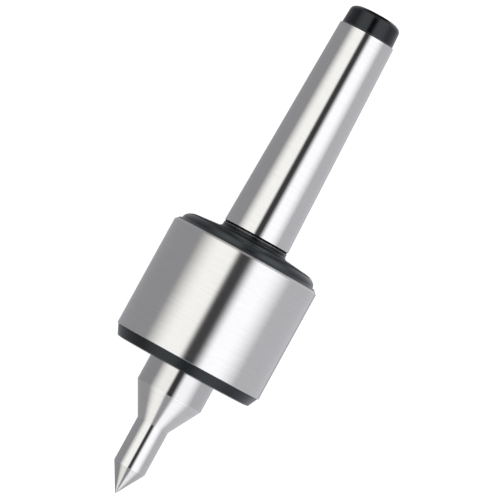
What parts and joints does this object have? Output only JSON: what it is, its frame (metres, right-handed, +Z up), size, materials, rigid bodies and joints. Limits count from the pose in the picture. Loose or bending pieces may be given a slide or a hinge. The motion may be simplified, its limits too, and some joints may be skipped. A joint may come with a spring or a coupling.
{
  "type": "live center",
  "caption": "Rotating lathe tailstock center: slim extended 60 degree point on a bearing-mounted spindle, ground drum body, black cap, Morse taper shank.",
  "frame": {"origin": "on the spin axis, halfway between the tip of the point and the tail end of the shank", "axes": "+X along the spin axis towards the point, +Z up when the center lies in a lathe"},
  "size_m": [0.184, 0.0542, 0.0542],
  "materials": {
    "body_ground_steel": "fine cylindrical grinding on drum and taper, black oxide on the rear dome and the collar",
    "spindle_ground_steel": "fine cylindrical grinding",
    "cap_black_oxide": "turned, black oxide",
    "seal_rubber": "matt moulded",
    "race_steel": "ground bearing steel",
    "ball_steel": "polished bearing steel",
    "shield_steel": "pressed sheet",
    "front_cage_polyamide": "moulded",
    "spacer_steel": "turned",
    "thrust_cage_brass": "stamped",
    "clip_spring_steel": "phosphated spring steel",
    "needle_cup_steel": "drawn sheet",
    "needle_cage_steel": "pressed sheet"
  },
  "bodies": {
    "housing": {"body": "body_ground_steel", "front_cap": "cap_black_oxide", "nose_seal": "seal_rubber", "front_bearing_outer_ring": "race_steel", "front_bearing_shield_nose_side": "shield_steel", "front_bearing_shield_tail_side": "shield_steel", "thrust_housing_washer": "race_steel", "needle_cup": "needle_cup_steel"},
    "spindle": {"spindle": "spindle_ground_steel", "front_bearing_inner_ring": "race_steel", "spacer_sleeve": "spacer_steel", "thrust_shaft_washer": "race_steel", "retaining_ring": "clip_spring_steel"},
    "front_cage": {"front_bearing_cage": "front_cage_polyamide"},
    "thrust_cage": {"thrust_cage": "thrust_cage_brass"},
    "needle_cage": {"needle_cage": "needle_cage_steel"},
    "front_ball_1": {"front_ball_1": "ball_steel"},
    "front_ball_2": {"front_ball_2": "ball_steel"},
    "front_ball_3": {"front_ball_3": "ball_steel"},
    "front_ball_4": {"front_ball_4": "ball_steel"},
    "front_ball_5": {"front_ball_5": "ball_steel"},
    "front_ball_6": {"front_ball_6": "ball_steel"},
    "front_ball_7": {"front_ball_7": "ball_steel"},
    "front_ball_8": {"front_ball_8": "ball_steel"},
    "thrust_ball_1": {"thrust_ball_1": "ball_steel"},
    "thrust_ball_2": {"thrust_ball_2": "ball_steel"},
    "thrust_ball_3": {"thrust_ball_3": "ball_steel"},
    "thrust_ball_4": {"thrust_ball_4": "ball_steel"},
    "thrust_ball_5": {"thrust_ball_5": "ball_steel"},
    "thrust_ball_6": {"thrust_ball_6": "ball_steel"},
    "thrust_ball_7": {"thrust_ball_7": "ball_steel"},
    "thrust_ball_8": {"thrust_ball_8": "ball_steel"},
    "thrust_ball_9": {"thrust_ball_9": "ball_steel"},
    "thrust_ball_10": {"thrust_ball_10": "ball_steel"},
    "thrust_ball_11": {"thrust_ball_11": "ball_steel"},
    "thrust_ball_12": {"thrust_ball_12": "ball_steel"},
    "needle_1": {"needle_1": "ball_steel"},
    "needle_2": {"needle_2": "ball_steel"},
    "needle_3": {"needle_3": "ball_steel"},
    "needle_4": {"needle_4": "ball_steel"},
    "needle_5": {"needle_5": "ball_steel"},
    "needle_6": {"needle_6": "ball_steel"},
    "needle_7": {"needle_7": "ball_steel"},
    "needle_8": {"needle_8": "ball_steel"},
    "needle_9": {"needle_9": "ball_steel"},
    "needle_10": {"needle_10": "ball_steel"},
    "needle_11": {"needle_11": "ball_steel"},
    "needle_12": {"needle_12": "ball_steel"}
  },
  "joints": [
    {"name": "spindle_spin", "type": "hinge", "parent": "housing", "child": "spindle", "pos_m": [0, 0, 0], "axis": [1, 0, 0], "continuous": true},
    {"name": "front_cage_orbit", "type": "hinge", "parent": "housing", "child": "front_cage", "pos_m": [0, 0, 0], "axis": [1, 0, 0], "continuous": true},
    {"name": "thrust_cage_orbit", "type": "hinge", "parent": "housing", "child": "thrust_cage", "pos_m": [0, 0, 0], "axis": [1, 0, 0], "continuous": true},
    {"name": "needle_cage_orbit", "type": "hinge", "parent": "housing", "child": "needle_cage", "pos_m": [0, 0, 0], "axis": [1, 0, 0], "continuous": true},
    {"name": "front_ball_1_spin", "type": "hinge", "parent": "front_cage", "child": "front_ball_1", "pos_m": [0.0282, 0, -0.01675], "axis": [1, 0, 0], "continuous": true},
    {"name": "front_ball_2_spin", "type": "hinge", "parent": "front_cage", "child": "front_ball_2", "pos_m": [0.0282, 0.01184, -0.01184], "axis": [1, 0, 0], "continuous": true},
    {"name": "front_ball_3_spin", "type": "hinge", "parent": "front_cage", "child": "front_ball_3", "pos_m": [0.0282, 0.01675, 0], "axis": [1, 0, 0], "continuous": true},
    {"name": "front_ball_4_spin", "type": "hinge", "parent": "front_cage", "child": "front_ball_4", "pos_m": [0.0282, 0.01184, 0.01184], "axis": [1, 0, 0], "continuous": true},
    {"name": "front_ball_5_spin", "type": "hinge", "parent": "front_cage", "child": "front_ball_5", "pos_m": [0.0282, 0, 0.01675], "axis": [1, 0, 0], "continuous": true},
    {"name": "front_ball_6_spin", "type": "hinge", "parent": "front_cage", "child": "front_ball_6", "pos_m": [0.0282, -0.01184, 0.01184], "axis": [1, 0, 0], "continuous": true},
    {"name": "front_ball_7_spin", "type": "hinge", "parent": "front_cage", "child": "front_ball_7", "pos_m": [0.0282, -0.01675, 0], "axis": [1, 0, 0], "continuous": true},
    {"name": "front_ball_8_spin", "type": "hinge", "parent": "front_cage", "child": "front_ball_8", "pos_m": [0.0282, -0.01184, -0.01184], "axis": [1, 0, 0], "continuous": true},
    {"name": "thrust_ball_1_spin", "type": "hinge", "parent": "thrust_cage", "child": "thrust_ball_1", "pos_m": [0.0129, 0, -0.01375], "axis": [0, 0, -1], "continuous": true},
    {"name": "thrust_ball_2_spin", "type": "hinge", "parent": "thrust_cage", "child": "thrust_ball_2", "pos_m": [0.0129, 0.00687, -0.01191], "axis": [0, 0.5, -0.866], "continuous": true},
    {"name": "thrust_ball_3_spin", "type": "hinge", "parent": "thrust_cage", "child": "thrust_ball_3", "pos_m": [0.0129, 0.01191, -0.00688], "axis": [0, 0.866, -0.5], "continuous": true},
    {"name": "thrust_ball_4_spin", "type": "hinge", "parent": "thrust_cage", "child": "thrust_ball_4", "pos_m": [0.0129, 0.01375, 0], "axis": [0, 1, 0], "continuous": true},
    {"name": "thrust_ball_5_spin", "type": "hinge", "parent": "thrust_cage", "child": "thrust_ball_5", "pos_m": [0.0129, 0.01191, 0.00687], "axis": [0, 0.866, 0.5], "continuous": true},
    {"name": "thrust_ball_6_spin", "type": "hinge", "parent": "thrust_cage", "child": "thrust_ball_6", "pos_m": [0.0129, 0.00687, 0.01191], "axis": [0, 0.5, 0.866], "continuous": true},
    {"name": "thrust_ball_7_spin", "type": "hinge", "parent": "thrust_cage", "child": "thrust_ball_7", "pos_m": [0.0129, 0, 0.01375], "axis": [0, 0, 1], "continuous": true},
    {"name": "thrust_ball_8_spin", "type": "hinge", "parent": "thrust_cage", "child": "thrust_ball_8", "pos_m": [0.0129, -0.00687, 0.01191], "axis": [0, -0.5, 0.866], "continuous": true},
    {"name": "thrust_ball_9_spin", "type": "hinge", "parent": "thrust_cage", "child": "thrust_ball_9", "pos_m": [0.0129, -0.01191, 0.00688], "axis": [0, -0.866, 0.5], "continuous": true},
    {"name": "thrust_ball_10_spin", "type": "hinge", "parent": "thrust_cage", "child": "thrust_ball_10", "pos_m": [0.0129, -0.01375, 0], "axis": [0, -1, 0], "continuous": true},
    {"name": "thrust_ball_11_spin", "type": "hinge", "parent": "thrust_cage", "child": "thrust_ball_11", "pos_m": [0.0129, -0.01191, -0.00688], "axis": [0, -0.866, -0.5], "continuous": true},
    {"name": "thrust_ball_12_spin", "type": "hinge", "parent": "thrust_cage", "child": "thrust_ball_12", "pos_m": [0.0129, -0.00688, -0.01191], "axis": [0, -0.5, -0.866], "continuous": true},
    {"name": "needle_1_spin", "type": "hinge", "parent": "needle_cage", "child": "needle_1", "pos_m": [0.0013, 0, -0.007], "axis": [1, 0, 0], "continuous": true},
    {"name": "needle_2_spin", "type": "hinge", "parent": "needle_cage", "child": "needle_2", "pos_m": [0.0013, 0.0035, -0.00606], "axis": [1, 0, 0], "continuous": true},
    {"name": "needle_3_spin", "type": "hinge", "parent": "needle_cage", "child": "needle_3", "pos_m": [0.0013, 0.00606, -0.0035], "axis": [1, 0, 0], "continuous": true},
    {"name": "needle_4_spin", "type": "hinge", "parent": "needle_cage", "child": "needle_4", "pos_m": [0.0013, 0.007, 0], "axis": [1, 0, 0], "continuous": true},
    {"name": "needle_5_spin", "type": "hinge", "parent": "needle_cage", "child": "needle_5", "pos_m": [0.0013, 0.00606, 0.0035], "axis": [1, 0, 0], "continuous": true},
    {"name": "needle_6_spin", "type": "hinge", "parent": "needle_cage", "child": "needle_6", "pos_m": [0.0013, 0.0035, 0.00606], "axis": [1, 0, 0], "continuous": true},
    {"name": "needle_7_spin", "type": "hinge", "parent": "needle_cage", "child": "needle_7", "pos_m": [0.0013, 0, 0.007], "axis": [1, 0, 0], "continuous": true},
    {"name": "needle_8_spin", "type": "hinge", "parent": "needle_cage", "child": "needle_8", "pos_m": [0.0013, -0.0035, 0.00606], "axis": [1, 0, 0], "continuous": true},
    {"name": "needle_9_spin", "type": "hinge", "parent": "needle_cage", "child": "needle_9", "pos_m": [0.0013, -0.00606, 0.0035], "axis": [1, 0, 0], "continuous": true},
    {"name": "needle_10_spin", "type": "hinge", "parent": "needle_cage", "child": "needle_10", "pos_m": [0.0013, -0.007, 0], "axis": [1, 0, 0], "continuous": true},
    {"name": "needle_11_spin", "type": "hinge", "parent": "needle_cage", "child": "needle_11", "pos_m": [0.0013, -0.00606, -0.0035], "axis": [1, 0, 0], "continuous": true},
    {"name": "needle_12_spin", "type": "hinge", "parent": "needle_cage", "child": "needle_12", "pos_m": [0.0013, -0.0035, -0.00606], "axis": [1, 0, 0], "continuous": true}
  ],
  "couplings": [
    {"joint": "front_cage_orbit", "follows": "spindle_spin", "ratio": 0.38149},
    {"joint": "thrust_cage_orbit", "follows": "spindle_spin", "ratio": 0.5},
    {"joint": "needle_cage_orbit", "follows": "spindle_spin", "ratio": 0.42857},
    {"joint": "front_ball_1_spin", "follows": "spindle_spin", "ratio": -1.9911},
    {"joint": "front_ball_2_spin", "follows": "spindle_spin", "ratio": -1.9911},
    {"joint": "front_ball_3_spin", "follows": "spindle_spin", "ratio": -1.9911},
    {"joint": "front_ball_4_spin", "follows": "spindle_spin", "ratio": -1.9911},
    {"joint": "front_ball_5_spin", "follows": "spindle_spin", "ratio": -1.9911},
    {"joint": "front_ball_6_spin", "follows": "spindle_spin", "ratio": -1.9911},
    {"joint": "front_ball_7_spin", "follows": "spindle_spin", "ratio": -1.9911},
    {"joint": "front_ball_8_spin", "follows": "spindle_spin", "ratio": -1.9911},
    {"joint": "thrust_ball_1_spin", "follows": "spindle_spin", "ratio": -2.75},
    {"joint": "thrust_ball_2_spin", "follows": "spindle_spin", "ratio": -2.75},
    {"joint": "thrust_ball_3_spin", "follows": "spindle_spin", "ratio": -2.75},
    {"joint": "thrust_ball_4_spin", "follows": "spindle_spin", "ratio": -2.75},
    {"joint": "thrust_ball_5_spin", "follows": "spindle_spin", "ratio": -2.75},
    {"joint": "thrust_ball_6_spin", "follows": "spindle_spin", "ratio": -2.75},
    {"joint": "thrust_ball_7_spin", "follows": "spindle_spin", "ratio": -2.75},
    {"joint": "thrust_ball_8_spin", "follows": "spindle_spin", "ratio": -2.75},
    {"joint": "thrust_ball_9_spin", "follows": "spindle_spin", "ratio": -2.75},
    {"joint": "thrust_ball_10_spin", "follows": "spindle_spin", "ratio": -2.75},
    {"joint": "thrust_ball_11_spin", "follows": "spindle_spin", "ratio": -2.75},
    {"joint": "thrust_ball_12_spin", "follows": "spindle_spin", "ratio": -2.75},
    {"joint": "needle_1_spin", "follows": "spindle_spin", "ratio": -3.4286},
    {"joint": "needle_2_spin", "follows": "spindle_spin", "ratio": -3.4286},
    {"joint": "needle_3_spin", "follows": "spindle_spin", "ratio": -3.4286},
    {"joint": "needle_4_spin", "follows": "spindle_spin", "ratio": -3.4286},
    {"joint": "needle_5_spin", "follows": "spindle_spin", "ratio": -3.4286},
    {"joint": "needle_6_spin", "follows": "spindle_spin", "ratio": -3.4286},
    {"joint": "needle_7_spin", "follows": "spindle_spin", "ratio": -3.4286},
    {"joint": "needle_8_spin", "follows": "spindle_spin", "ratio": -3.4286},
    {"joint": "needle_9_spin", "follows": "spindle_spin", "ratio": -3.4286},
    {"joint": "needle_10_spin", "follows": "spindle_spin", "ratio": -3.4286},
    {"joint": "needle_11_spin", "follows": "spindle_spin", "ratio": -3.4286},
    {"joint": "needle_12_spin", "follows": "spindle_spin", "ratio": -3.4286}
  ]
}
